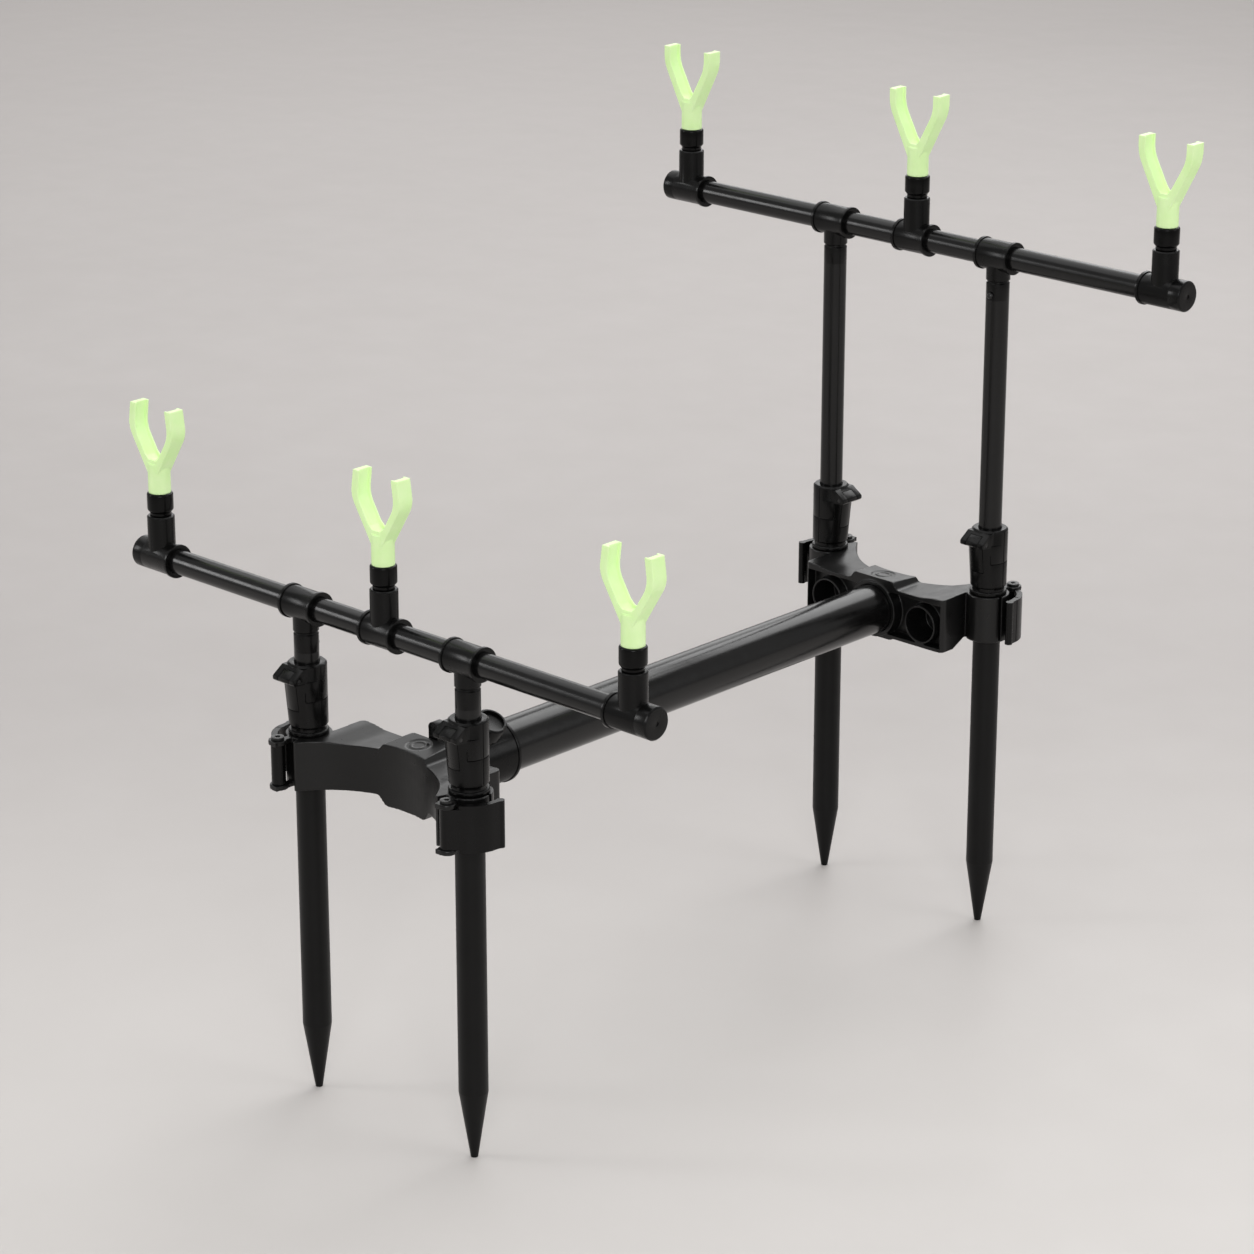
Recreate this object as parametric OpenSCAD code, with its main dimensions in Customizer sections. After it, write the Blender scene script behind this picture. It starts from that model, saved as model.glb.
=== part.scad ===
// Rod pod: two cross bars with rod rests, on telescopic spiked legs joined by a centre tube.
// Units are mm and +Z is up. The low front bar is on the -Y side and the high rear bar on the +Y side.

/* [Overall] */
// Distance between the left and right legs
leg_pitch = 145; // [142:1:156]
// Distance between the front and rear leg lines
pod_len = 506; // [480:1:560]
// Height of the centre tube's axis above the ground
hub_z = 229; // [218:1:240]
// Rise of the front bar's axis above the flip locks
front_rise = 37.1; // [35:0.1:100]
// Rise of the rear bar's axis above the flip locks
rear_rise = 193.1; // [100:0.1:203]
// Distance from the middle rest to each end rest
rest_pitch = 210; // [180:1:240]

/* [Legs] */
// Outside diameter of the leg tubes
leg_d = 19; // [18.6:0.1:19.4]
// Wall of the leg, upright and bar tubes
tube_wall = 1.2; // [1:0.1:1.4]
// Height of the ground spike's cone
spike_len = 46; // [40:1:60]
// Flat at the spike's tip
spike_tip_d = 4.7; // [3:0.1:8]
// Length of the spike's plug inside the leg
spike_plug = 20; // [12:1:24]
// Length of the upright below the bar's axis
upright_len = 250; // [245:1:255]

/* [Centre tube] */
// Outside diameter of the centre tube
center_d = 35; // [34:0.1:35.6]
// Wall of the centre tube
center_wall = 1.5; // [1.2:0.1:2]
// Wall of the inner tube
inner_wall = 1.5; // [1.2:0.1:2]
// Length of the inner tube
inner_len = 420; // [380:1:430]
// Outside diameter of the clamp collar
collar_d = 42; // [41:0.1:43]
// Length of the clamp collar
collar_len = 57; // [52:1:64]
// Width of the stop at the collar's front end
collar_stop = 2; // [1:0.1:3]
// Height of the rim at the collar's rear end
collar_rim = 0.8; // [0.4:0.1:1.2]
// Width of that rim
collar_rim_w = 2; // [1:0.1:3]
// Radius of the lug at the collar's front end
collar_lug_r = 4.2; // [3.8:0.1:4.6]
// Rise of that lug's round end above the collar
collar_lug_up = 9; // [6:0.5:11]
// Length of that lug
collar_lug_w = 7; // [5:0.5:8]
// Distance of the knob from the collar's front end
knob_y = 34; // [30:1:38]

/* [Shoulders] */
// Height of the shoulder's arms
arm_h = 33; // [32:0.5:34]
// Depth of the arms below the centre tube's axis
arm_low = 13; // [12:0.5:14]
// Rise of the middle above the centre tube's axis
hub_up = 23.5; // [23:0.1:24.5]
// Lean of the raised middle's top down towards the arch
hub_lean = 4; // [2:0.5:5]
// Depth of the middle below the centre tube's axis
hub_down = 20; // [19.5:0.1:21.5]
// Half width of the raised middle
hub_half = 17.5; // [16:0.5:19]
// Length of the ramp beside the raised middle, on top
hub_ramp = 4; // [3.5:0.1:5]
// Length of the ramp beside the middle, underneath
belly_ramp = 5; // [4:0.1:7]
// Dip of the arms' tops beside the raised middle
arm_dip = 2; // [1:0.1:2.5]
// Distance of that dip's outer end from the middle
dip_x = 42; // [38:0.5:46]
// Depth of the shoulder's inner part below the centre tube's axis
box_down = 18.6; // [18:0.1:19]
// Inward distance of the inner part's front from the leg line
box_v = 12; // [11.5:0.5:14]
// Length of the slope under that front
box_ramp = 12; // [8:0.5:14]
// Rounding at the inner face's ends
inner_round = 5; // [3:0.5:6]
// Inward distance of the shoulder's inner face from the leg line
inner_v = 38; // [37:0.5:39]
// Inward distance of the arch's top from the leg line
arch_v = 15.5; // [13:0.5:17]
// Outward reach of the arms from the leg line
arm_out = 20; // [19:0.5:22]
// Inward distance of the arch's ends from the legs
arch_in = 9; // [8.5:0.5:10]
// Inward distance of the arms' outer ends from the legs
arm_end = 7; // [6:0.5:8]
// Inward distance of the shoulder's side faces from the legs
side_in = 9.5; // [9:0.1:10.2]
// Outside radius of the leg bosses
boss_r = 15; // [14.6:0.1:15.4]
// Depth of the pocket between the rings on the inner face
pocket_deep = 8; // [4:0.5:10]
// Wall left around that pocket
pocket_wall = 2.6; // [2:0.1:3]
// Outside radius of the ring around the centre tube
ring_r = 20.5; // [20:0.1:21]
// Height of that ring above the inner face
ring_up = 1; // [0.5:0.1:1.5]
// Diameter of the stowage sockets
socket_d = 24.4; // [23.6:0.1:25]
// Depth of the stowage sockets
socket_deep = 22; // [16:0.5:23]
// Wall of the stowage socket's ring
socket_wall = 1.5; // [1:0.1:2]
// Distance of the stowage sockets from the middle
socket_x = 42.5; // [41.5:0.5:43]
// Drop of the stowage sockets below the centre tube's axis
socket_drop = 2; // [1:0.1:2.5]
// Depth left behind the centre tube in the shoulder
tube_stop = 3; // [2:0.1:5]
// Radius of the plain round recess on top
disc_r = 8.5; // [6:0.1:9]
// Depth of that recess
disc_deep = 0.6; // [0.3:0.1:1]
// Outside radius of the plain ring in that recess
disc_ring_r = 5.5; // [4:0.1:5.8]
// Width of that plain ring
disc_ring_w = 1.2; // [0.8:0.1:1.6]

/* [Leg clamps] */
// Clamp pin's distance outward along the bar from the leg
clamp_x = 4; // [3.5:0.1:4.5]
// Clamp pin's distance from the leg line
clamp_v = 23; // [22.6:0.1:23.4]
// Radius of the clamp pin
clamp_pin_r = 2; // [1.6:0.1:2.4]
// Radius of the clamp pin's head
clamp_head_r = 4.2; // [3.4:0.1:4.5]
// Height of the clamp pin's head
clamp_head_h = 1.8; // [1:0.1:2.5]
// Radius of the hexagon recess in that head
hex_r = 1.9; // [1.4:0.1:2.4]
// Depth of that recess
hex_deep = 1.2; // [0.6:0.1:1.6]
// Radius of the lever's barrel
barrel_r = 4.6; // [4.2:0.1:4.9]
// Radius of the lugs above and below the barrel
lug_r = 6; // [5.4:0.1:6.4]
// Thickness of those lugs
lug_t = 3; // [2.4:0.1:5]
// Inward reach of the lugs from the leg's axis
lug_in = 0.5; // [0:0.5:2]
// Inside radius of the clamp lever's curved plate
lever_r = 20; // [19.6:0.1:20.4]
// Thickness of the clamp lever's plate
lever_t = 4; // [3.4:0.1:4.4]
// Length of the clamp lever's straight tab
lever_tab = 7; // [5:0.5:9]
// Radius of the bead at the tab's end
lever_bead = 2.6; // [2.4:0.1:3]
// Distance of the lever's plate from the boss's ends
lever_in = 1; // [0.5:0.1:2]
// Width of the slit in the leg boss
slit_w = 2; // [1:0.1:3]

/* [Flip locks] */
// Outside radius of the flip lock's housing
lock_r = 12.65; // [12.4:0.05:13]
// Height of the flip lock's housing
lock_h = 42.5; // [40:0.5:44]
// Outside radius of the lock's bottom flange
flange_r = 13; // [12.8:0.1:14]
// Height of that flange
flange_h = 2.8; // [2:0.1:4]
// Bevel on that flange's edges
flange_edge = 0.7; // [0.3:0.1:0.9]
// Radius of the neck above the flange
neck_r = 11.3; // [11:0.1:11.8]
// Height of that neck
neck_h = 2.5; // [1.5:0.1:3]
// Bevel on the housing's top edge
lock_bevel = 1.2; // [0.5:0.1:2]
// Length of leg tube held above the shoulder
leg_in_lock = 33; // [28:0.5:34]
// Distance of the lock pin from the leg's axis
lock_pin_y = 15.8; // [15.6:0.1:16]
// Drop of the lock pin below the housing's top
lock_pin_drop = 8; // [7.8:0.1:8.2]
// Radius of the lock pin
lock_pin_r = 1.3; // [1:0.1:1.5]
// Wall between the leg's bore and the lever's slot
slot_wall = 0.9; // [0.7:0.1:1.1]
// Width of the lock lever
lock_lever_w = 10; // [9:0.1:11]
// Length of the lock lever below its pin
lock_lever_len = 22; // [20:0.5:24]
// Width of the lock's beak
beak_w = 19.6; // [18:0.1:21]
// Reach of the beak from the leg's axis
beak_y = 20.4; // [20:0.1:20.8]
// Depth of the beak's lip
beak_lip = 4; // [3.5:0.1:4.5]
// Drop of the beak's roof from the housing to its lip
beak_fall = 5; // [4.5:0.1:5.5]
// Rounding of the beak's lip
beak_round = 1; // [0.5:0.1:1.5]
// Lean of the housing's front below the beak
front_lean = 6; // [4:0.5:7]
// Width of the grooves in the housing
groove_w = 0.6; // [0.4:0.1:0.8]
// Depth of those grooves
groove_deep = 0.5; // [0.3:0.1:0.7]
// Drop of the groove round the housing's back below its top
groove_drop = 24; // [22:0.5:26]
// Drop of that groove's front ends
groove_front = 17; // [16:0.5:18]

/* [Bars] */
// Outside diameter of the bar tubes
bar_d = 16; // [15.6:0.1:16.4]
// Outside radius of the tees' sleeves
tee_r = 10.35; // [10:0.05:10.8]
// Length of the tees' sleeves
tee_len = 28; // [26:0.5:32]
// Height of the lips at the sleeves' ends
lip_up = 0.8; // [0.3:0.1:1.2]
// Width of those lips
lip_w = 2.2; // [1.5:0.1:3]
// Reach of the end tees beyond the end rests' axes
tee_out = 10; // [9:0.5:12]
// Reach of the end tees inward from the end rests' axes
tee_in = 16; // [14:0.5:18]
// Thickness of the end caps
cap_t = 9; // [7:0.5:11]
// Bevel on the end caps
cap_bevel = 1; // [0.6:0.1:1.6]
// Radius of the dimple in the end caps
dimple_r = 1.4; // [1:0.1:2]
// Depth of that dimple
dimple_deep = 0.6; // [0.3:0.1:1]
// Length of the end cap's plug in the bar
cap_plug = 10; // [6:0.5:14]
// Radius of the rest tees' stubs
stub_r = 8.95; // [8.6:0.05:9.3]
// Height of the rest tees' stubs above the bar's axis
stub_h = 28.5; // [27:0.5:30]
// Bevel on the stubs and nuts
edge_bevel = 0.8; // [0.4:0.1:1.2]
// Drop of the upright tees' stubs below the bar's axis
drop_h = 17; // [16:0.1:17.5]
// Radius of the upright tees' stubs
drop_r = 8.3; // [8.1:0.05:8.6]

/* [Ferrules and buttons] */
// Length of the ferrule below the upright tee
ferrule_len = 13; // [12.4:0.1:15]
// Radius of the ferrule's spigots in the tee
spigot_r = 5.5; // [4.5:0.1:6]
// Length of the ferrule's spigot in the tee
spigot_len = 6; // [4:0.1:7]
// Length of the ferrule's plug in the upright
ferrule_plug = 15; // [10:0.5:20]
// Radius of the snap button
button_r = 2.2; // [1.8:0.05:2.4]
// Height of the snap button above the ferrule
button_up = 2; // [1.6:0.1:2.2]
// Bevel on the snap button's tip
button_bevel = 1; // [0.6:0.1:1.2]
// Distance of the snap button from the ferrule's lower end
button_z = 3.5; // [3.2:0.1:4.2]

/* [Rests] */
// Outside radius of the nut under each rest
nut_r = 8.55; // [8.2:0.05:8.9]
// Height of that nut
nut_h = 15.4; // [13:0.1:17]
// Radius of the nut's lower neck
nut_neck_r = 7; // [6.4:0.1:7.6]
// Height of that neck
nut_neck_h = 2.2; // [1:0.1:3]
// Height of the cone above that neck
nut_cone = 2; // [1:0.1:3]
// Radius of the rest's threaded stud
stud_r = 4.5; // [4:0.1:4.8]
// Length of the rest's threaded stud
stud_len = 26; // [20:0.5:27]
// Radius of the rest's stem
stem_r = 7.3; // [6.8:0.1:7.6]
// Height of the rest's stem
stem_h = 20; // [18:0.5:20.5]
// Height of the whole rest above its nut
rest_h = 58; // [54:1:68]
// Height of the front rests' elbows
elbow_h = 41; // [38:0.5:45]
// Height of the rear rests' elbows
rear_elbow_h = 46; // [43:0.5:48]
// Half width over the prongs' elbows
elbow_x = 21.8; // [20:0.1:24]
// Inward lean of the front rests' tips
tip_lean = 2.4; // [1:0.1:3]
// Thickness of the prongs
prong_t = 5.5; // [4.6:0.1:6]
// Width of the prongs along the rod
prong_w = 11.5; // [9:0.1:12]
// Height of the cradle's floor
cradle_z = 22.5; // [22.2:0.1:23.5]
// Rise of the cradle's rounded floor
floor_rise = 3; // [2:0.1:4]
// Width of the raised edges beside the channel
channel_edge = 1.5; // [1:0.1:2]
// Depth of the channel in the prongs
channel_deep = 1.5; // [0.8:0.1:1.6]

/* [Knob] */
// Lean of the knob's axis from upright towards the right
knob_lean = 31; // [26:1:36]
// Radius of the knob
knob_r = 10.4; // [9.6:0.1:11.4]
// Height of the knob
knob_h = 10.7; // [9.5:0.1:12]
// Bevel on the knob's edges
knob_bevel = 0.9; // [0.5:0.1:1.2]
// Width of the raised lip around the knob's dish
knob_lip = 2.2; // [1.6:0.1:2.8]
// Depth of that dish
knob_dish = 2.6; // [1.5:0.1:3]
// Radius of the two finger notches in the knob's side
notch_r = 4; // [3:0.1:5]
// Depth of those notches
notch_in = 1.7; // [1:0.1:2.2]
// Height of the pad under the knob
pad_h = 4; // [3:0.1:5]
// Radius of that pad
pad_r = 7.5; // [7:0.1:8.5]
// Thickness of the knob above its screw
screw_cover = 4.6; // [4:0.1:5]
// Radius of the knob's screw
screw_r = 3; // [2.5:0.1:3.4]

/* [Clearances] */
// Radial gap between sliding tubes
slide_gap = 0.3; // [0.25:0.05:0.4]
// Radial gap between a pin and the piece that turns on it
pin_gap = 0.06; // [0.04:0.01:0.1]
// Gap between faces that move past each other
face_gap = 0.3; // [0.2:0.05:0.4]

/* [Hidden] */
$fn = 96;
over = 1;
ease_steps = 6;
plastic = [0.06, 0.06, 0.065];
coated = [0.04, 0.04, 0.045];
steel = [0.16, 0.16, 0.17];
lime = [0.79, 0.96, 0.6];

leg_x = leg_pitch / 2;
leg_in_r = leg_d / 2 - tube_wall;
upright_r = leg_in_r - slide_gap;
upright_in_r = upright_r - tube_wall;
bar_r = bar_d / 2;
bar_in_r = bar_r - tube_wall;
inner_r = center_d / 2 - center_wall - slide_gap;
arm_bot = hub_z - arm_low;
arm_top = arm_bot + arm_h;
side_x = leg_x - side_in;
arch_x = leg_x - arch_in;
arch_h = arch_v + arm_out;
arch_r = (arch_x * arch_x + arch_h * arch_h) / (2 * arch_h);
join = 0.7 * boss_r;
reach = 20;
pocket_half = side_x - pocket_wall;
pocket_low = hub_z - box_down + pocket_wall;
pocket_high = arm_top - arm_dip - pocket_wall;
hub_ease = 2;
dip_ease = 4;
dip_ramp = 12;
tube_v = arch_v + tube_stop;
ring_v = inner_v + ring_up;
disc_v = (arch_v + inner_v) / 2;
socket_z = hub_z - socket_drop;
flange_z = arm_top + pin_gap;
housing_z = flange_z + flange_h + neck_h;
lock_top = housing_z + lock_h;
front_bar_z = lock_top + front_rise;
rear_bar_z = lock_top + rear_rise;
leg_top = arm_top + leg_in_lock;
lock_pin_z = lock_top - lock_pin_drop;
slot_y = leg_d / 2 + slot_wall;
lever_in_y = slot_y + face_gap;
turn_r = lock_pin_y - lever_in_y;
lever_end_z = lock_pin_z - lock_lever_len;
beak_low_z = lock_top - lock_bevel - beak_fall - beak_lip;
bulge_in = 0.15;
bulge_r = lock_r - bulge_in;
groove_step = 42;
ferrule_z = -drop_h - ferrule_len;
notch_h = 0.8;
button_floor = 0.8;
button_back = button_floor + button_up + face_gap;
rest_z = stub_h + nut_h + pin_gap;
collar_front = -pod_len / 2 + ring_v + face_gap;
collar_rear = collar_front + collar_len;
knob_pos = collar_front + knob_y;
knob_low = collar_d / 2 + pad_h + face_gap;
foot_share = 0.95;
foot_x = foot_share * sqrt(stem_r * stem_r - prong_w * prong_w / 4);
front_soft = 0.42;
rear_soft = 0.32;
flare_drop = 2.5;
elbow_ease = 6;
flare_z = stem_h - flare_drop;
lug_root = 9;
lever_lap = 2;
tab_step = 0.2;
lever_start = -60;
lever_bend = -7;
pin_angle = -atan2(clamp_v, clamp_x);
slit_angle = 15;
notch_turn = 25;

// Placing: e is -1 at the front and 1 at the rear, s is -1 on the left and 1 on the right

// Local +Y points towards the middle of the pod
module at_end(e) {
    translate([0, e * pod_len / 2, 0]) rotate([0, 0, e < 0 ? 0 : 180]) children();
}

module at_leg(e, s) {
    translate([s * leg_x, e * pod_len / 2, 0]) children();
}

// Local +X points away from the middle of the bar, local +Y towards the middle of the pod
module at_clamp(e, s) {
    at_end(e) translate([-e * s * leg_x, 0, 0]) clamp_side(-e * s) children();
}

module clamp_side(side) {
    if (side < 0) {
        mirror([1, 0, 0]) children();
    } else {
        children();
    }
}

module at_bar(e) {
    translate([0, e * pod_len / 2, e < 0 ? front_bar_z : rear_bar_z]) children();
}

// Points of a curve that eases the corner b between a and c, starting r before it
function eased(a, b, c, r) = let(p = b + r * (a - b) / norm(a - b), q = b + r * (c - b) / norm(c - b))
    [for (i = [0:ease_steps]) let(t = i / ease_steps)
        (1 - t) * (1 - t) * p + 2 * t * (1 - t) * b + t * t * q];

// Points on the other side of the middle, in reverse order
function flipped(points) = [for (i = [len(points) - 1:-1:0]) [-points[i][0], points[i][1]]];

// Shapes used more than once

module along_x(r, x0, x1) {
    translate([x0, 0, 0]) rotate([0, 90, 0]) cylinder(r = r, h = x1 - x0);
}

module along_y(r, y0, y1) {
    translate([0, y0, 0]) rotate([-90, 0, 0]) cylinder(r = r, h = y1 - y0);
}

module pipe(r_out, r_in, z0, z1) {
    difference() {
        translate([0, 0, z0]) cylinder(r = r_out, h = z1 - z0);
        translate([0, 0, z0 - over]) cylinder(r = r_in, h = z1 - z0 + 2 * over);
    }
}

// Pie slice from angle a0 to a1, reaching past radius r
module wedge(r, a0, a1, z0, z1) {
    translate([0, 0, z0]) linear_extrude(z1 - z0)
        polygon([[0, 0], r * [cos(a0), sin(a0)], r * [cos((a0 + a1) / 2), sin((a0 + a1) / 2)],
            r * [cos(a1), sin(a1)]]);
}

// Centre

// Local +Z points out along the knob's screw, from the centre tube's axis
module knob_axis() {
    translate([0, knob_pos, 0]) rotate([0, knob_lean, 0]) children();
}

module center_tube() {
    color(coated) translate([0, 0, hub_z]) difference() {
        along_y(center_d / 2, collar_front + collar_stop, pod_len / 2 - tube_v);
        along_y(center_d / 2 - center_wall, collar_front, pod_len / 2);
        knob_axis() cylinder(r = screw_r + face_gap, h = center_d);
    }
}

module inner_tube() {
    color(coated) translate([0, -pod_len / 2 + tube_v, hub_z]) difference() {
        along_y(inner_r, 0, inner_len);
        along_y(inner_r - inner_wall, -over, inner_len + over);
    }
}

module tube_collar() {
    color(plastic) translate([0, 0, hub_z]) difference() {
        union() {
            along_y(collar_d / 2, collar_front, collar_rear);
            along_y(collar_d / 2 + collar_rim, collar_rear - collar_rim_w, collar_rear);
            translate([tab_step - collar_lug_r, collar_front, 0])
                cube([2 * (collar_lug_r - tab_step), collar_lug_w, collar_d / 2 + collar_lug_up]);
            translate([0, 0, collar_d / 2 + collar_lug_up])
                along_y(collar_lug_r, collar_front, collar_front + collar_lug_w);
            knob_axis() cylinder(r = pad_r, h = collar_d / 2 + pad_h);
        }
        along_y(center_d / 2, collar_front + collar_stop, collar_rear + over);
        along_y(inner_r + slide_gap, collar_front - over, collar_rear);
        knob_axis() cylinder(r = screw_r + face_gap, h = collar_d);
    }
}

module collar_knob() {
    color(plastic) translate([0, 0, hub_z]) knob_axis() translate([0, 0, knob_low]) difference() {
        union() {
            cylinder(r1 = knob_r - knob_bevel, r2 = knob_r, h = knob_bevel);
            translate([0, 0, knob_bevel]) cylinder(r = knob_r, h = knob_h - 2 * knob_bevel);
            translate([0, 0, knob_h - knob_bevel])
                cylinder(r1 = knob_r, r2 = knob_r - knob_bevel, h = knob_bevel);
        }
        translate([0, 0, knob_h - knob_dish]) cylinder(r = knob_r - knob_lip, h = knob_dish + over);
        for (a = [notch_turn, notch_turn + 180]) {
            rotate([0, 0, a]) translate([knob_r + notch_r - notch_in, 0, -over])
                cylinder(r = notch_r, h = knob_h + 2 * over);
        }
        translate([0, 0, -over]) cylinder(r = screw_r, h = over + knob_h - screw_cover);
    }
}

module knob_screw() {
    color(steel) translate([0, 0, hub_z]) knob_axis() translate([0, 0, inner_r + face_gap])
        cylinder(r = screw_r, h = knob_low + knob_h - screw_cover - inner_r - face_gap);
}

// Shoulder

module shoulder_plan() {
    right = concat([[leg_x - arm_end, -arm_out], [leg_x, 0], [leg_x - join, join]],
        eased([leg_x - join, join], [side_x, inner_v], [0, inner_v], inner_round));
    translate([0, 0, arm_bot - reach]) linear_extrude(arm_h + 2 * reach)
        polygon(concat(right, flipped(right)));
}

module shoulder_side() {
    low = hub_z - hub_down;
    high = hub_z + hub_up;
    dip = arm_top - arm_dip;
    belly = [hub_half, low];
    belly_end = [hub_half + belly_ramp, arm_bot];
    pad = [hub_half, high];
    pad_end = [hub_half + hub_ramp, dip];
    dip_end = [dip_x, dip];
    arm = [dip_x + dip_ramp, arm_top];
    right = concat(eased([0, low], belly, belly_end, hub_ease),
        eased(belly, belly_end, [leg_x, arm_bot], hub_ease), [[leg_x, arm_bot], [leg_x, arm_top]],
        eased([leg_x, arm_top], arm, dip_end, dip_ease), eased(arm, dip_end, pad_end, dip_ease),
        eased(dip_end, pad_end, pad, hub_ease), eased(pad_end, pad, [0, high], hub_ease));
    translate([0, inner_v + over, 0]) rotate([90, 0, 0]) linear_extrude(inner_v + arm_out + 2 * over)
        polygon(concat(right, flipped(right)));
}

// Lower part behind the arch, that holds the stowage sockets
module shoulder_box() {
    low = hub_z - box_down;
    translate([-leg_x, 0, 0]) rotate([90, 0, 90]) linear_extrude(2 * leg_x)
        polygon([[box_v, arm_bot + over], [box_v, arm_bot], [box_v + box_ramp, low],
            [inner_v + over, low], [inner_v + over, arm_bot + over]]);
}

module shoulder_body() {
    difference() {
        intersection() {
            shoulder_plan();
            union() {
                shoulder_side();
                shoulder_box();
            }
        }
        translate([0, arch_v - arch_r, arm_bot - reach]) cylinder(r = arch_r, h = arm_h + 2 * reach);
        translate([-pocket_half, inner_v - pocket_deep, pocket_low])
            cube([2 * pocket_half, pocket_deep + over, pocket_high - pocket_low]);
        hub_top() translate([-hub_half - hub_ramp, -inner_v, 0])
            cube([2 * (hub_half + hub_ramp), inner_v + over, reach]);
    }
}

// Frame of the raised middle's leaning top, with its origin on the inner face
module hub_top() {
    translate([0, inner_v, hub_z + hub_up]) rotate([hub_lean, 0, 0]) children();
}

// Leg boss with its lugs, in the clamp's frame
module clamp_boss() {
    translate([0, 0, arm_bot]) cylinder(r = boss_r, h = arm_h);
    for (z = [arm_bot, arm_top - lug_t]) {
        translate([clamp_x, -clamp_v, z]) cylinder(r = lug_r, h = lug_t);
        translate([-lug_in, -clamp_v - lug_r, z])
            cube([lug_in + clamp_x, clamp_v + lug_r - lug_root, lug_t]);
    }
}

module clamp_cuts() {
    translate([0, 0, arm_bot - over]) cylinder(r = leg_d / 2 + pin_gap, h = arm_h + 2 * over);
    rotate([0, 0, slit_angle]) translate([leg_d / 2 - over, -slit_w / 2, arm_bot - over])
        cube([boss_r, slit_w, arm_h + 2 * over]);
    translate([clamp_x, -clamp_v, arm_bot - over]) cylinder(r = clamp_pin_r, h = arm_h + 2 * over);
    translate([clamp_x, -clamp_v, arm_bot + lug_t])
        cylinder(r = barrel_r + 2 * face_gap, h = arm_h - 2 * lug_t);
}

module shoulder(e, tube_r) {
    color(plastic) difference() {
        union() {
            at_end(e) shoulder_body();
            at_end(e) translate([0, 0, hub_z]) along_y(ring_r, inner_v - pocket_deep - over, ring_v);
            for (d = [-1, 1]) {
                at_end(e) translate([d * socket_x, 0, socket_z])
                    along_y(socket_d / 2 + socket_wall, inner_v - pocket_deep - over, inner_v);
                at_clamp(e, d) clamp_boss();
            }
        }
        at_end(e) translate([0, 0, hub_z]) along_y(tube_r, tube_v, ring_v + over);
        at_end(e) hub_top() translate([0, disc_v - inner_v, -disc_deep]) difference() {
            cylinder(r = disc_r, h = disc_deep + over);
            pipe(disc_ring_r, disc_ring_r - disc_ring_w, -over, disc_deep + 2 * over);
        }
        for (d = [-1, 1]) {
            at_end(e) translate([d * socket_x, 0, socket_z])
                along_y(socket_d / 2, inner_v - socket_deep, inner_v + over);
            at_clamp(e, d) clamp_cuts();
        }
    }
}

module front_shoulder() {
    shoulder(-1, inner_r);
}

module rear_shoulder() {
    shoulder(1, center_d / 2);
}

// Leg clamps

module clamp_pins(e) {
    color(steel) for (s = [-1, 1]) {
        at_clamp(e, s) translate([clamp_x, -clamp_v, 0]) difference() {
            union() {
                translate([0, 0, arm_bot]) cylinder(r = clamp_pin_r, h = arm_h);
                translate([0, 0, arm_top]) cylinder(r = clamp_head_r, h = clamp_head_h);
            }
            translate([0, 0, arm_top + clamp_head_h - hex_deep])
                cylinder(r = hex_r, h = hex_deep + over, $fn = 6);
        }
    }
}

module front_clamp_pins() {
    clamp_pins(-1);
}

module rear_clamp_pins() {
    clamp_pins(1);
}

module clamp_lever(e, s) {
    z0 = arm_bot + lug_t + face_gap;
    z1 = arm_top - lug_t - face_gap;
    p0 = arm_bot + lever_in;
    p1 = arm_top - lever_in;
    r1 = lever_r + lever_t;
    pin = [clamp_x, -clamp_v];
    lean = pin_angle + acos((r1 - barrel_r) / norm(pin));
    web = [cos(lean), sin(lean)];
    color(plastic) at_clamp(e, s) difference() {
        union() {
            translate([clamp_x, -clamp_v, z0]) cylinder(r = barrel_r, h = z1 - z0);
            intersection() {
                pipe(r1, lever_r, z0, z1);
                wedge(2 * r1, pin_angle, lever_start + lever_lap, z0, z1);
            }
            translate([0, 0, z0]) linear_extrude(z1 - z0)
                polygon([pin, pin + (barrel_r - tab_step) * web,
                    (r1 - tab_step) * web, (lever_r + tab_step) * web]);
            intersection() {
                pipe(r1, lever_r, p0, p1);
                wedge(2 * r1, lever_start, lever_bend, p0, p1);
            }
            rotate([0, 0, lever_bend]) {
                translate([lever_r + tab_step, -lever_lap, p0])
                    cube([lever_t - 2 * tab_step, lever_tab + lever_lap, p1 - p0]);
                translate([lever_r + lever_t / 2, lever_tab, p0]) cylinder(r = lever_bead, h = p1 - p0);
            }
        }
        translate([clamp_x, -clamp_v, z0 - over])
            cylinder(r = clamp_pin_r + pin_gap, h = z1 - z0 + 2 * over);
    }
}

module front_left_clamp_lever() {
    clamp_lever(-1, -1);
}

module front_right_clamp_lever() {
    clamp_lever(-1, 1);
}

module rear_left_clamp_lever() {
    clamp_lever(1, -1);
}

module rear_right_clamp_lever() {
    clamp_lever(1, 1);
}

// Legs and spikes

module leg_tube(e, s) {
    color(coated) at_leg(e, s) pipe(leg_d / 2, leg_in_r, spike_len, leg_top);
}

module front_left_leg_tube() {
    leg_tube(-1, -1);
}

module front_right_leg_tube() {
    leg_tube(-1, 1);
}

module rear_left_leg_tube() {
    leg_tube(1, -1);
}

module rear_right_leg_tube() {
    leg_tube(1, 1);
}

module leg_spike(e, s) {
    color(coated) at_leg(e, s) {
        cylinder(d1 = spike_tip_d, d2 = leg_d, h = spike_len);
        translate([0, 0, spike_len]) cylinder(r = leg_in_r, h = spike_plug);
    }
}

module front_left_leg_spike() {
    leg_spike(-1, -1);
}

module front_right_leg_spike() {
    leg_spike(-1, 1);
}

module rear_left_leg_spike() {
    leg_spike(1, -1);
}

module rear_right_leg_spike() {
    leg_spike(1, 1);
}

// Flip locks: the rear left one faces +X, the others face -Y

module at_lock(e, s) {
    at_leg(e, s) rotate([0, 0, e > 0 && s < 0 ? 90 : 0]) children();
}

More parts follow.
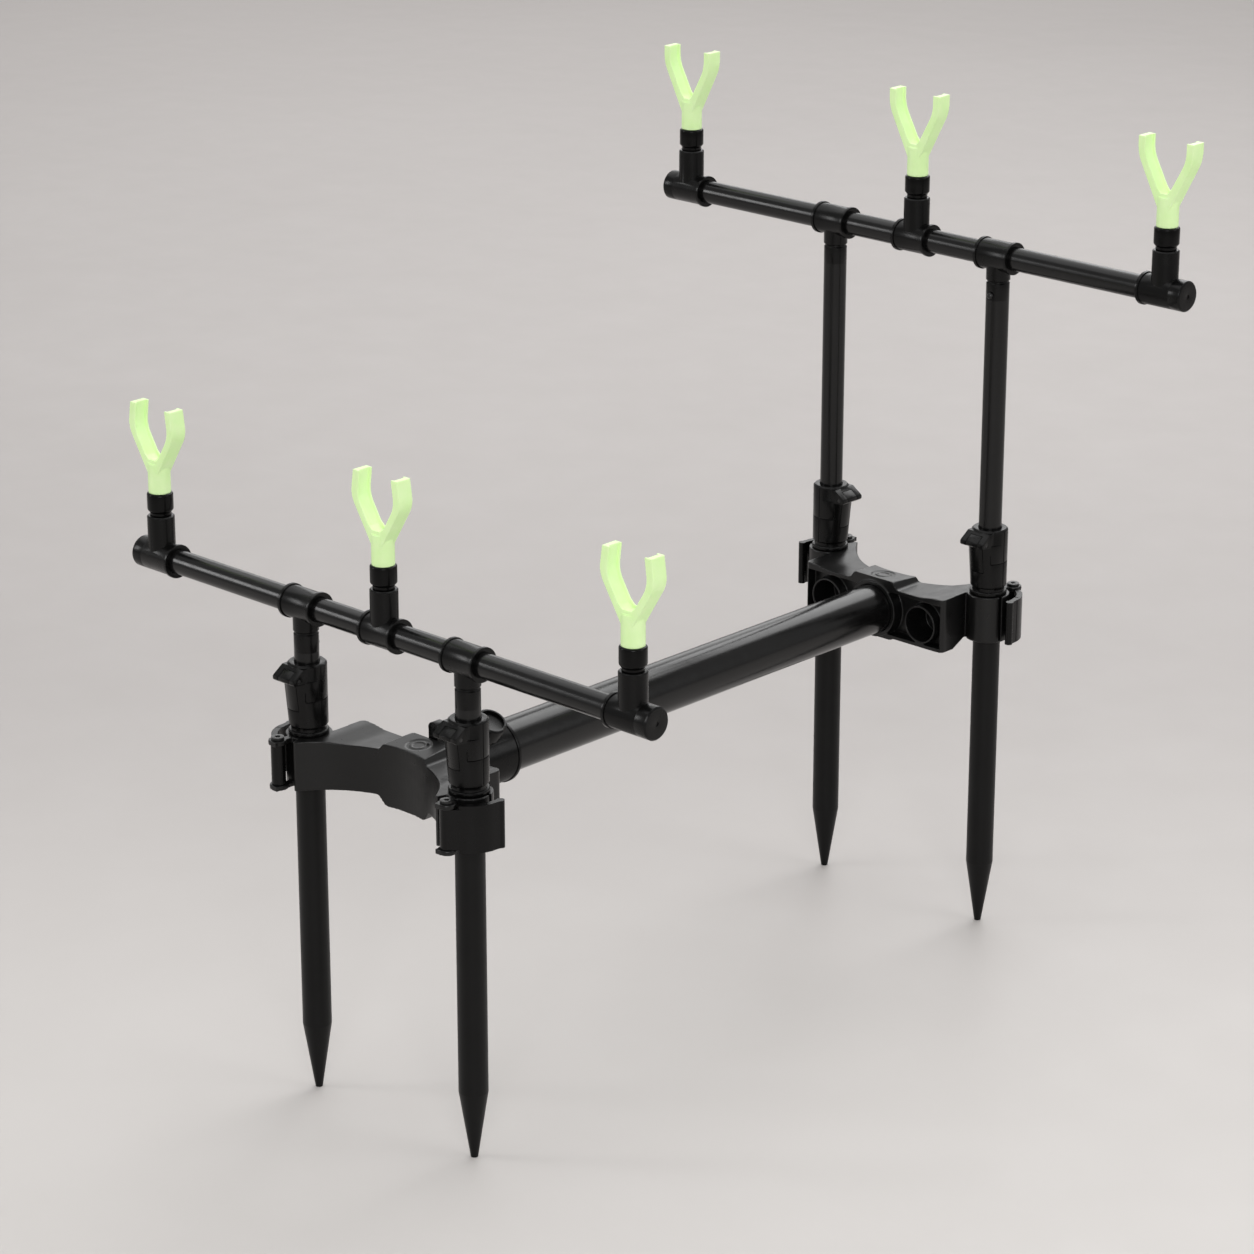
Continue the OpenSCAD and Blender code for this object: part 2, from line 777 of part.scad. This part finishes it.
// Side outline of the beak, in the lock's Y and Z
module beak_outline() {
    roof_z = lock_top - lock_bevel;
    lip_z = roof_z - beak_fall;
    r = beak_round;
    polygon([[0, roof_z], [lock_bevel / 2 - lock_r, roof_z], [r - beak_y, lip_z], [-beak_y, lip_z - r],
        [-beak_y, beak_low_z + r], [r - beak_y, beak_low_z], [0, beak_low_z - 2 * r]]);
}

// Outside of the housing with its beak and leaning front, shared by the body and the lever
module lock_form() {
    translate([0, 0, housing_z]) cylinder(r1 = lock_r - lock_bevel, r2 = lock_r, h = lock_bevel);
    translate([0, 0, housing_z + lock_bevel]) cylinder(r = lock_r, h = lock_h - 2 * lock_bevel);
    translate([0, 0, lock_top - lock_bevel])
        cylinder(r1 = lock_r, r2 = lock_r - lock_bevel, h = lock_bevel);
    translate([-beak_w / 2, 0, 0]) rotate([90, 0, 90]) linear_extrude(beak_w) beak_outline();
    intersection() {
        translate([0, 0, housing_z + lock_bevel]) rotate([front_lean, 0, 0])
            cylinder(r = bulge_r, h = lock_h);
        translate([-2 * lock_r, -2 * lock_r, housing_z + lock_bevel])
            cube([4 * lock_r, 4 * lock_r, beak_low_z - housing_z - lock_bevel]);
    }
}

// Space of the lever in the housing: a knuckle round the pin and a tail below it, grown by gap
module lever_space(gap) {
    w = lock_lever_w + 2 * gap;
    translate([0, -lock_pin_y, lock_pin_z]) along_x(turn_r + gap, -w / 2, w / 2);
    translate([-w / 2, -3 * lock_r, lever_end_z - gap])
        cube([w, 3 * lock_r - lever_in_y + gap, lock_lever_len + gap]);
}

// Groove round the housing's back, with a step up towards the beak on each side
module lock_grooves() {
    z0 = lock_top - groove_drop;
    z1 = lock_top - groove_front;
    far = 2 * lock_r;
    difference() {
        union() {
            translate([0, 0, z0]) cylinder(r = far, h = groove_w);
            for (d = [-1, 1]) {
                rotate([0, 0, d * groove_step]) translate([-groove_w / 2, -far, z0])
                    cube([groove_w, far, z1 - z0]);
                translate([-groove_w / 2 + d * lock_r, -groove_w / 2, housing_z - over])
                    cube([groove_w, groove_w, lock_h + 2 * over]);
            }
        }
        translate([0, 0, housing_z - 2 * over]) cylinder(r = lock_r - groove_deep, h = lock_h + 4 * over);
        wedge(2 * far, groove_step - 90, -90 - groove_step, z0 - over, z0 + over);
    }
}

module lock_body(e, s) {
    color(plastic) at_lock(e, s) difference() {
        union() {
            translate([0, 0, flange_z])
                cylinder(r1 = flange_r - flange_edge, r2 = flange_r, h = flange_edge);
            translate([0, 0, flange_z + flange_edge])
                cylinder(r = flange_r, h = flange_h - 2 * flange_edge);
            translate([0, 0, flange_z + flange_h - flange_edge])
                cylinder(r1 = flange_r, r2 = flange_r - flange_edge, h = flange_edge);
            translate([0, 0, flange_z]) cylinder(r = neck_r, h = flange_h + neck_h + over);
            lock_form();
        }
        translate([0, 0, flange_z - over]) cylinder(r = leg_d / 2, h = leg_top - flange_z + over);
        translate([0, 0, flange_z]) cylinder(r = leg_in_r, h = lock_top);
        lever_space(face_gap);
        translate([0, -lock_pin_y, lock_pin_z]) along_x(lock_pin_r, -2 * lock_r, 2 * lock_r);
        lock_grooves();
    }
}

module front_left_lock_body() {
    lock_body(-1, -1);
}

module front_right_lock_body() {
    lock_body(-1, 1);
}

module rear_left_lock_body() {
    lock_body(1, -1);
}

module rear_right_lock_body() {
    lock_body(1, 1);
}

module lock_lever(e, s) {
    color(plastic) at_lock(e, s) difference() {
        intersection() {
            lock_form();
            lever_space(0);
        }
        translate([0, -lock_pin_y, lock_pin_z]) along_x(lock_pin_r + pin_gap, -beak_w, beak_w);
    }
}

module front_left_lock_lever() {
    lock_lever(-1, -1);
}

module front_right_lock_lever() {
    lock_lever(-1, 1);
}

module rear_left_lock_lever() {
    lock_lever(1, -1);
}

module rear_right_lock_lever() {
    lock_lever(1, 1);
}

module lock_pin(e, s) {
    color(steel) at_lock(e, s) translate([0, -lock_pin_y, lock_pin_z])
        along_x(lock_pin_r, -beak_w / 2, beak_w / 2);
}

module front_left_lock_pin() {
    lock_pin(-1, -1);
}

module front_right_lock_pin() {
    lock_pin(-1, 1);
}

module rear_left_lock_pin() {
    lock_pin(1, -1);
}

module rear_right_lock_pin() {
    lock_pin(1, 1);
}

// Uprights, ferrules and snap buttons

module uprights(e) {
    color(coated) for (s = [-1, 1]) {
        at_bar(e) translate([s * leg_x, 0, 0]) pipe(upright_r, upright_in_r, -upright_len, ferrule_z);
    }
}

module front_uprights() {
    uprights(-1);
}

module rear_uprights() {
    uprights(1);
}

// The rear right button faces -Y, the others face +Y
function button_turn(e, s) = e > 0 && s > 0 ? 180 : 0;

module ferrules(e) {
    top = -drop_h - notch_h;
    color(plastic) for (s = [-1, 1]) {
        at_bar(e) translate([s * leg_x, 0, 0]) difference() {
            union() {
                translate([0, 0, ferrule_z - ferrule_plug])
                    cylinder(r = upright_in_r, h = ferrule_plug + over);
                translate([0, 0, ferrule_z]) cylinder(r = upright_r, h = top - ferrule_z - edge_bevel);
                translate([0, 0, top - edge_bevel])
                    cylinder(r1 = upright_r, r2 = upright_r - edge_bevel, h = edge_bevel);
                translate([0, 0, top - over]) cylinder(r = upright_r - edge_bevel, h = notch_h + over);
                translate([0, 0, top - over]) cylinder(r = spigot_r, h = notch_h + over + spigot_len);
            }
            translate([0, 0, ferrule_z + button_z]) rotate([0, 0, button_turn(e, s)])
                along_y(button_r + pin_gap, button_floor, 2 * upright_r);
        }
    }
}

module front_ferrules() {
    ferrules(-1);
}

module rear_ferrules() {
    ferrules(1);
}

module snap_button(e, s) {
    tip = upright_r + button_up;
    color(steel) at_bar(e) translate([s * leg_x, 0, ferrule_z + button_z])
        rotate([0, 0, button_turn(e, s)]) {
            along_y(button_r, button_back, tip - button_bevel);
            translate([0, tip - button_bevel, 0]) rotate([-90, 0, 0])
                cylinder(r1 = button_r, r2 = button_r - button_bevel, h = button_bevel);
        }
}

module front_left_snap_button() {
    snap_button(-1, -1);
}

module front_right_snap_button() {
    snap_button(-1, 1);
}

module rear_left_snap_button() {
    snap_button(1, -1);
}

module rear_right_snap_button() {
    snap_button(1, 1);
}

// Bars, tees and end caps

module bar_tube(e) {
    x1 = rest_pitch + tee_out;
    color(coated) at_bar(e) difference() {
        along_x(bar_r, -x1, x1);
        along_x(bar_in_r, -x1 - over, x1 + over);
    }
}

module front_bar_tube() {
    bar_tube(-1);
}

module rear_bar_tube() {
    bar_tube(1);
}

// Stub that takes a rest's stud, standing on the bar
module rest_stub() {
    cylinder(r = stub_r, h = stub_h - edge_bevel);
    translate([0, 0, stub_h - edge_bevel]) cylinder(r1 = stub_r, r2 = stub_r - edge_bevel, h = edge_bevel);
}

module stud_hole() {
    translate([0, 0, stub_h + nut_h - stud_len - over]) cylinder(r = stud_r + face_gap, h = stud_len + over);
}

module end_tees(e) {
    color(plastic) for (s = [-1, 1]) {
        at_bar(e) translate([s * rest_pitch, 0, 0]) rotate([0, 0, s < 0 ? 180 : 0]) difference() {
            union() {
                along_x(tee_r, -tee_in, tee_out);
                along_x(tee_r + lip_up, -tee_in, lip_w - tee_in);
                rest_stub();
            }
            along_x(bar_r, -tee_in - over, tee_out + over);
            stud_hole();
        }
    }
}

module front_end_tees() {
    end_tees(-1);
}

module rear_end_tees() {
    end_tees(1);
}

module tee_sleeve() {
    along_x(tee_r, -tee_len / 2, tee_len / 2);
    for (x = [-tee_len / 2, tee_len / 2 - lip_w]) {
        along_x(tee_r + lip_up, x, x + lip_w);
    }
}

module mid_tee(e) {
    color(plastic) at_bar(e) difference() {
        union() {
            tee_sleeve();
            rest_stub();
        }
        along_x(bar_r, -tee_len, tee_len);
        stud_hole();
    }
}

module front_mid_tee() {
    mid_tee(-1);
}

module rear_mid_tee() {
    mid_tee(1);
}

module upright_tees(e) {
    color(plastic) for (s = [-1, 1]) {
        at_bar(e) translate([s * leg_x, 0, 0]) difference() {
            union() {
                tee_sleeve();
                translate([0, 0, edge_bevel - drop_h]) cylinder(r = drop_r, h = drop_h - edge_bevel);
                translate([0, 0, -drop_h]) cylinder(r1 = drop_r - edge_bevel, r2 = drop_r, h = edge_bevel);
            }
            along_x(bar_r, -tee_len, tee_len);
            translate([0, 0, -drop_h - over]) cylinder(r = spigot_r, h = spigot_len + over);
        }
    }
}

module front_upright_tees() {
    upright_tees(-1);
}

module rear_upright_tees() {
    upright_tees(1);
}

module end_caps(e) {
    color(plastic) for (s = [-1, 1]) {
        at_bar(e) rotate([0, 0, s < 0 ? 180 : 0]) translate([rest_pitch + tee_out, 0, 0]) difference() {
            union() {
                along_x(bar_in_r, -cap_plug, over);
                along_x(tee_r, 0, cap_t - cap_bevel);
                translate([cap_t - cap_bevel, 0, 0]) rotate([0, 90, 0])
                    cylinder(r1 = tee_r, r2 = tee_r - cap_bevel, h = cap_bevel);
            }
            along_x(dimple_r, cap_t - dimple_deep, cap_t + over);
        }
    }
}

module front_end_caps() {
    end_caps(-1);
}

module rear_end_caps() {
    end_caps(1);
}

// Rests and their nuts

module rest_nuts(e) {
    color(plastic) for (s = [-1, 0, 1]) {
        at_bar(e) translate([s * rest_pitch, 0, stub_h]) difference() {
            union() {
                cylinder(r = nut_neck_r, h = nut_h - over);
                translate([0, 0, nut_neck_h]) cylinder(r1 = nut_neck_r, r2 = nut_r, h = nut_cone);
                translate([0, 0, nut_neck_h + nut_cone])
                    cylinder(r = nut_r, h = nut_h - nut_neck_h - nut_cone - edge_bevel);
                translate([0, 0, nut_h - edge_bevel])
                    cylinder(r1 = nut_r, r2 = nut_r - edge_bevel, h = edge_bevel);
            }
            translate([0, 0, -over]) cylinder(r = stud_r + face_gap, h = nut_h + 2 * over);
        }
    }
}

module front_rest_nuts() {
    rest_nuts(-1);
}

module rear_rest_nuts() {
    rest_nuts(1);
}

// Outline of the cradle's inside, d deeper than its face: bend is the elbows' height, lean the tips'
// inward lean and soft the floor's share of the width
module cradle(bend, lean, soft, d) {
    x1 = elbow_x - prong_t + d;
    xf = soft * x1;
    z0 = cradle_z - d;
    right = concat([[xf / 2, z0], [xf, z0 + floor_rise]],
        eased([xf, z0 + floor_rise], [x1, bend], [x1 - lean, rest_h], elbow_ease),
        [[x1 - lean, rest_h + over]]);
    polygon(concat(right, flipped(right)));
}

module fork(bend, lean, soft) {
    x2 = elbow_x - lean;
    z0 = flare_z - (stem_r - foot_x) * (bend - flare_z) / (elbow_x - stem_r);
    right = concat([[foot_x, z0]],
        eased([foot_x, z0], [elbow_x, bend], [x2, rest_h], elbow_ease), [[x2, rest_h]]);
    rotate([90, 0, 0]) translate([0, 0, -prong_w / 2]) linear_extrude(prong_w) difference() {
        polygon(concat(right, flipped(right)));
        cradle(bend, lean, soft, 0);
    }
}

module channel(bend, lean, soft) {
    rotate([90, 0, 0]) translate([0, 0, channel_edge - prong_w / 2])
        linear_extrude(prong_w - 2 * channel_edge) cradle(bend, lean, soft, channel_deep);
}

module rest(e, s) {
    bend = e < 0 ? elbow_h : rear_elbow_h;
    lean = e < 0 ? tip_lean : 0;
    soft = e < 0 ? front_soft : rear_soft;
    color(lime) at_bar(e) translate([s * rest_pitch, 0, rest_z]) {
        difference() {
            union() {
                cylinder(r = stem_r, h = stem_h);
                fork(bend, lean, soft);
            }
            channel(bend, lean, soft);
        }
        translate([0, 0, -stud_len]) cylinder(r = stud_r, h = stud_len + over);
    }
}

module front_left_rest() {
    rest(-1, -1);
}

module front_mid_rest() {
    rest(-1, 0);
}

module front_right_rest() {
    rest(-1, 1);
}

module rear_left_rest() {
    rest(1, -1);
}

module rear_mid_rest() {
    rest(1, 0);
}

module rear_right_rest() {
    rest(1, 1);
}

// Drawing

center_tube();
inner_tube();
tube_collar();
collar_knob();
knob_screw();
front_shoulder();
front_clamp_pins();
front_left_clamp_lever();
front_right_clamp_lever();
front_left_leg_tube();
front_right_leg_tube();
front_left_leg_spike();
front_right_leg_spike();
front_left_lock_body();
front_right_lock_body();
front_left_lock_lever();
front_right_lock_lever();
front_left_lock_pin();
front_right_lock_pin();
front_uprights();
front_ferrules();
front_left_snap_button();
front_right_snap_button();
front_bar_tube();
front_end_tees();
front_mid_tee();
front_upright_tees();
front_end_caps();
front_rest_nuts();
front_left_rest();
front_mid_rest();
front_right_rest();
rear_shoulder();
rear_clamp_pins();
rear_left_clamp_lever();
rear_right_clamp_lever();
rear_left_leg_tube();
rear_right_leg_tube();
rear_left_leg_spike();
rear_right_leg_spike();
rear_left_lock_body();
rear_right_lock_body();
rear_left_lock_lever();
rear_right_lock_lever();
rear_left_lock_pin();
rear_right_lock_pin();
rear_uprights();
rear_ferrules();
rear_left_snap_button();
rear_right_snap_button();
rear_bar_tube();
rear_end_tees();
rear_mid_tee();
rear_upright_tees();
rear_end_caps();
rear_rest_nuts();
rear_left_rest();
rear_mid_rest();
rear_right_rest();
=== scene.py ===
import math

import bpy
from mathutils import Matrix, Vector

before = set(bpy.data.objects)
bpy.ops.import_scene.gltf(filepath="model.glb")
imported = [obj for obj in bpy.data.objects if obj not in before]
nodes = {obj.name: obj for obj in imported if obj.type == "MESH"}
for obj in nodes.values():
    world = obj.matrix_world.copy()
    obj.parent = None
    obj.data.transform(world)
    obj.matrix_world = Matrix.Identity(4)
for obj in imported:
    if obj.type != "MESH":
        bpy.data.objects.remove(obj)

scene = bpy.context.scene
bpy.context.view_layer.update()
MM = 0.001

# Camera

CAMERA_PLACE = (1.6929, -1.8241, 1.1659)
CAMERA_TURN = 43.44
CAMERA_DOWN = 19.78
LENS = 114.4
SENSOR = 36.0

cam_data = bpy.data.cameras.new("camera")
cam_data.lens = LENS
cam_data.sensor_width = SENSOR
camera = bpy.data.objects.new("camera", cam_data)
camera.location = CAMERA_PLACE
camera.rotation_euler = (math.radians(90 - CAMERA_DOWN), 0, math.radians(CAMERA_TURN))
scene.collection.objects.link(camera)
scene.camera = camera
scene.view_settings.view_transform = "Standard"


# Materials

NOISE_ROUGH = 0.55


class Tree:
    """A material's nodes, with short ways to add and link them."""

    def __init__(self, name):
        self.mat = bpy.data.materials.new(name)
        self.mat.use_nodes = True
        self.nt = self.mat.node_tree
        self.shader = self.nt.nodes["Principled BSDF"]

    def add(self, kind, **values):
        node = self.nt.nodes.new(kind)
        for key, value in values.items():
            setattr(node, key, value)
        return node

    def link(self, a, b):
        self.nt.links.new(a, b)

    def noise(self, scale, detail):
        coord = self.add("ShaderNodeTexCoord")
        node = self.add("ShaderNodeTexNoise")
        node.inputs["Scale"].default_value = scale
        node.inputs["Detail"].default_value = detail
        node.inputs["Roughness"].default_value = NOISE_ROUGH
        self.link(coord.outputs["Object"], node.inputs["Vector"])
        return node.outputs["Fac"]

    def ramp(self, fac, stops):
        node = self.add("ShaderNodeValToRGB")
        ramp = node.color_ramp
        while len(ramp.elements) < len(stops):
            ramp.elements.new(0.5)
        for element, (place, value) in zip(ramp.elements, stops):
            element.position = place
            element.color = (*value, 1.0)
        self.link(fac, node.inputs["Fac"])
        return node.outputs["Color"]

    def span(self, fac, low, high, start=0.3, end=0.7):
        node = self.add("ShaderNodeMapRange")
        node.inputs["From Min"].default_value = start
        node.inputs["From Max"].default_value = end
        node.inputs["To Min"].default_value = low
        node.inputs["To Max"].default_value = high
        self.link(fac, node.inputs["Value"])
        return node.outputs["Result"]

    def bump(self, height, strength, distance):
        node = self.add("ShaderNodeBump")
        node.inputs["Strength"].default_value = strength
        node.inputs["Distance"].default_value = distance
        self.link(height, node.inputs["Height"])
        self.link(node.outputs["Normal"], self.shader.inputs["Normal"])


# Noise scales per metre of the black pieces' colour and roughness, and their grain's bump strength
TONE_SCALE = 38.0
ROUGH_SCALE = 140.0
GRAIN_STRENGTH = 0.35


def dark_material(name, dark, light, rough_low, rough_high, grain, grain_deep, specular):
    t = Tree(name)
    tone = t.noise(TONE_SCALE, 4.0)
    t.link(t.ramp(tone, [(0.3, dark), (0.7, light)]), t.shader.inputs["Base Color"])
    t.link(t.span(t.noise(ROUGH_SCALE, 5.0), rough_low, rough_high), t.shader.inputs["Roughness"])
    t.bump(t.noise(grain, 2.0), GRAIN_STRENGTH, grain_deep)
    t.shader.inputs["Specular IOR Level"].default_value = specular
    return t.mat


plastic = dark_material("satin_black_plastic", (0.0036, 0.0035, 0.0035), (0.005, 0.0049, 0.0049),
                        0.27, 0.36, 2600.0, 0.00004, 0.32)
moulded = dark_material("moulded_black_plastic", (0.0022, 0.0022, 0.0022), (0.0031, 0.003, 0.003),
                        0.21, 0.29, 2200.0, 0.00003, 0.2)
gloss = dark_material("gloss_black_plastic", (0.0018, 0.0018, 0.0018), (0.0026, 0.0025, 0.0025),
                      0.16, 0.22, 1200.0, 0.00002, 0.14)
tube = dark_material("coated_black_tube", (0.0036, 0.0035, 0.0035), (0.005, 0.0049, 0.0049),
                     0.34, 0.42, 1500.0, 0.00002, 0.18)
center = dark_material("gloss_coated_tube", (0.003, 0.0029, 0.0029), (0.0042, 0.0041, 0.0041),
                       0.17, 0.23, 900.0, 0.00001, 0.36)
bar_tube = dark_material("gloss_bar_tube", (0.0032, 0.0031, 0.0031), (0.0045, 0.0044, 0.0044),
                         0.19, 0.26, 1000.0, 0.00001, 0.32)
steel = dark_material("black_steel", (0.006, 0.006, 0.0061), (0.01, 0.01, 0.0102),
                      0.26, 0.36, 1800.0, 0.00002, 0.4)


LIME_DEEP = (0.73, 0.95, 0.48)
LIME_PALE = (0.78, 0.98, 0.54)
# Colour of the rests' painted glow
LIME_PAINTED_GLOW = (0.2, 0.9, 0.1, 1.0)


def lime_material():
    t = Tree("lime_plastic")
    tone = t.noise(90.0, 3.0)
    color = t.ramp(tone, [(0.32, LIME_DEEP), (0.68, LIME_PALE)])
    t.link(color, t.shader.inputs["Base Color"])
    t.link(t.span(t.noise(260.0, 4.0), 0.38, 0.5), t.shader.inputs["Roughness"])
    t.bump(t.noise(700.0, 2.0), 0.25, 0.00005)
    t.shader.inputs["Subsurface Weight"].default_value = 0.22
    t.shader.inputs["Subsurface Radius"].default_value = (1.0, 1.0, 0.85)
    t.shader.inputs["Subsurface Scale"].default_value = 0.003
    # painted glow: a faint lime emission makes the rests brighter, though they are no lamp
    t.shader.inputs["Emission Color"].default_value = LIME_PAINTED_GLOW
    t.shader.inputs["Emission Strength"].default_value = 0.06
    return t.mat


lime = lime_material()


# Softened edges and clean normals on the CAD nodes, in millimetres and degrees

WELD_GAP = 0.002
SMOOTH_BELOW = 38
BEVEL_ABOVE = 30
EASE = 0.5


def normals_group(name, limit):
    ng = bpy.data.node_groups.new(name, "GeometryNodeTree")
    ng.interface.new_socket("Geometry", in_out="INPUT", socket_type="NodeSocketGeometry")
    ng.interface.new_socket("Geometry", in_out="OUTPUT", socket_type="NodeSocketGeometry")
    start = ng.nodes.new("NodeGroupInput")
    end = ng.nodes.new("NodeGroupOutput")
    drop = ng.nodes.new("GeometryNodeRemoveAttribute")
    drop.inputs["Name"].default_value = "custom_normal"
    faces = ng.nodes.new("GeometryNodeSetShadeSmooth")
    faces.domain = "FACE"
    edges = ng.nodes.new("GeometryNodeSetShadeSmooth")
    edges.domain = "EDGE"
    angle = ng.nodes.new("GeometryNodeInputMeshEdgeAngle")
    less = ng.nodes.new("FunctionNodeCompare")
    less.data_type = "FLOAT"
    less.operation = "LESS_THAN"
    less.inputs["B"].default_value = math.radians(limit)
    ng.links.new(start.outputs["Geometry"], drop.inputs["Geometry"])
    ng.links.new(drop.outputs["Geometry"], faces.inputs["Geometry"])
    ng.links.new(faces.outputs["Geometry"], edges.inputs["Geometry"])
    ng.links.new(angle.outputs["Unsigned Angle"], less.inputs["A"])
    ng.links.new(less.outputs["Result"], edges.inputs["Shade Smooth"])
    ng.links.new(edges.outputs["Geometry"], end.inputs["Geometry"])
    return ng


crisp = normals_group("normals_by_angle", SMOOTH_BELOW)


def paint(obj, mat):
    obj.data.materials.clear()
    obj.data.materials.append(mat)


def join_seams(obj):
    weld = obj.modifiers.new("weld", "WELD")
    weld.merge_threshold = WELD_GAP * MM


def soften(obj, width, segments=2):
    join_seams(obj)
    if width:
        bevel = obj.modifiers.new("bevel", "BEVEL")
        bevel.width = width * MM
        bevel.segments = segments
        bevel.limit_method = "ANGLE"
        bevel.angle_limit = math.radians(BEVEL_ABOVE)
        bevel.use_clamp_overlap = True
    smooth = obj.modifiers.new("normals", "NODES")
    smooth.node_group = crisp


def melt(obj, voxel, rounds):
    join_seams(obj)
    remesh = obj.modifiers.new("remesh", "REMESH")
    remesh.mode = "VOXEL"
    remesh.voxel_size = voxel * MM
    remesh.use_smooth_shade = True
    ease = obj.modifiers.new("ease", "SMOOTH")
    ease.factor = EASE
    ease.iterations = rounds


for name, obj in nodes.items():
    if name.endswith("_rest"):
        paint(obj, lime)
        melt(obj, 0.35, 3)
    elif name.endswith("_shoulder"):
        paint(obj, plastic)
        melt(obj, 0.5, 4)
    elif name == "center_tube":
        paint(obj, center)
        soften(obj, 0)
    elif name.endswith(("_bar_tube", "_uprights")):
        paint(obj, bar_tube)
        soften(obj, 0)
    elif name.endswith(("_tube", "_spike")):
        paint(obj, tube)
        soften(obj, 0)
    elif name.endswith("_nuts"):
        paint(obj, gloss)
        soften(obj, 0.4)
    elif name.endswith(("_button", "_pins", "_pin", "_screw")):
        paint(obj, steel)
        soften(obj, 0.2)
    elif name.endswith("_clamp_lever"):
        paint(obj, moulded)
        soften(obj, 0.7, 3)
    elif name.endswith(("_tees", "_tee", "_caps")):
        paint(obj, moulded)
        soften(obj, 0.45, 3)
    else:
        paint(obj, moulded)
        soften(obj, 0.3)


# Floor and light

FLOOR_HALF = 9.0
# Painted light falloff on the floor: its colour turns darker along this direction, from the front
# towards the far side
PAINTED_FALLOFF_ALONG = (-0.6876, 0.7261, 0.0)
PAINTED_FALLOFF_START = -0.35
PAINTED_FALLOFF_END = 0.75
AIR_COLOR = (0.98, 0.97, 0.96, 1.0)
AIR_STRENGTH = 0.45

mesh = bpy.data.meshes.new("floor")
mesh.from_pydata([(-FLOOR_HALF, -FLOOR_HALF, 0), (FLOOR_HALF, -FLOOR_HALF, 0),
                  (FLOOR_HALF, FLOOR_HALF, 0), (-FLOOR_HALF, FLOOR_HALF, 0)], [], [(0, 1, 2, 3)])
floor = bpy.data.objects.new("floor", mesh)
scene.collection.objects.link(floor)
t = Tree("pale_floor")
# painted pool of light at the front, painted shade towards the far side; the noise in each is
# random tone
painted_lit_near = t.ramp(t.noise(3.0, 4.0), [(0.3, (0.585, 0.561, 0.543)), (0.7, (0.603, 0.579, 0.561))])
painted_shade_far = t.ramp(t.noise(2.0, 4.0), [(0.3, (0.417, 0.394, 0.384)), (0.7, (0.429, 0.406, 0.396))])
place = t.add("ShaderNodeTexCoord")
along = t.add("ShaderNodeVectorMath", operation="DOT_PRODUCT")
along.inputs[1].default_value = PAINTED_FALLOFF_ALONG
t.link(place.outputs["Object"], along.inputs[0])
painted_falloff = t.add("ShaderNodeMapRange", interpolation_type="SMOOTHSTEP")
painted_falloff.inputs["From Min"].default_value = PAINTED_FALLOFF_START
painted_falloff.inputs["From Max"].default_value = PAINTED_FALLOFF_END
t.link(along.outputs["Value"], painted_falloff.inputs["Value"])
blend = t.add("ShaderNodeMix", data_type="RGBA")
t.link(painted_falloff.outputs["Result"], blend.inputs["Factor"])
t.link(painted_lit_near, blend.inputs["A"])
t.link(painted_shade_far, blend.inputs["B"])
t.link(blend.outputs["Result"], t.shader.inputs["Base Color"])
t.link(t.span(t.noise(14.0, 4.0), 0.5, 0.62), t.shader.inputs["Roughness"])
t.bump(t.noise(160.0, 3.0), 0.1, 0.0004)
t.shader.inputs["Specular IOR Level"].default_value = 0.25
paint(floor, t.mat)

world = bpy.data.worlds.new("studio")
world.use_nodes = True
air = world.node_tree.nodes["Background"]
air.inputs["Color"].default_value = AIR_COLOR
air.inputs["Strength"].default_value = AIR_STRENGTH
scene.world = world


def softbox(name, place, aim, size_x, size_y, watts):
    data = bpy.data.lights.new(name, "AREA")
    data.shape = "RECTANGLE"
    data.size = size_x
    data.size_y = size_y
    data.energy = watts
    obj = bpy.data.objects.new(name, data)
    obj.location = place
    obj.visible_camera = False
    obj.rotation_euler = (Vector(aim) - Vector(place)).to_track_quat("-Z", "Y").to_euler()
    scene.collection.objects.link(obj)


softbox("overhead", (-1.2, 1.4, 4.5), (-0.6, 0.7, 0.0), 7.0, 7.0, 150)
softbox("back", (-0.6, 2.1, 2.2), (0, 0, 0.3), 1.8, 1.8, 26)
softbox("backdrop", (-2.7, 2.8, 1.4), (0, 0, 0.3), 2.6, 1.4, 15)
softbox("left", (-2.3, -2.1, 1.3), (0, 0, 0.35), 0.5, 0.9, 13)
softbox("right", (2.6, 1.2, 1.5), (0, 0, 0.3), 1.4, 1.4, 12)
softbox("front", (2.3, -2.4, 1.8), (0, 0, 0.35), 1.5, 1.5, 40)
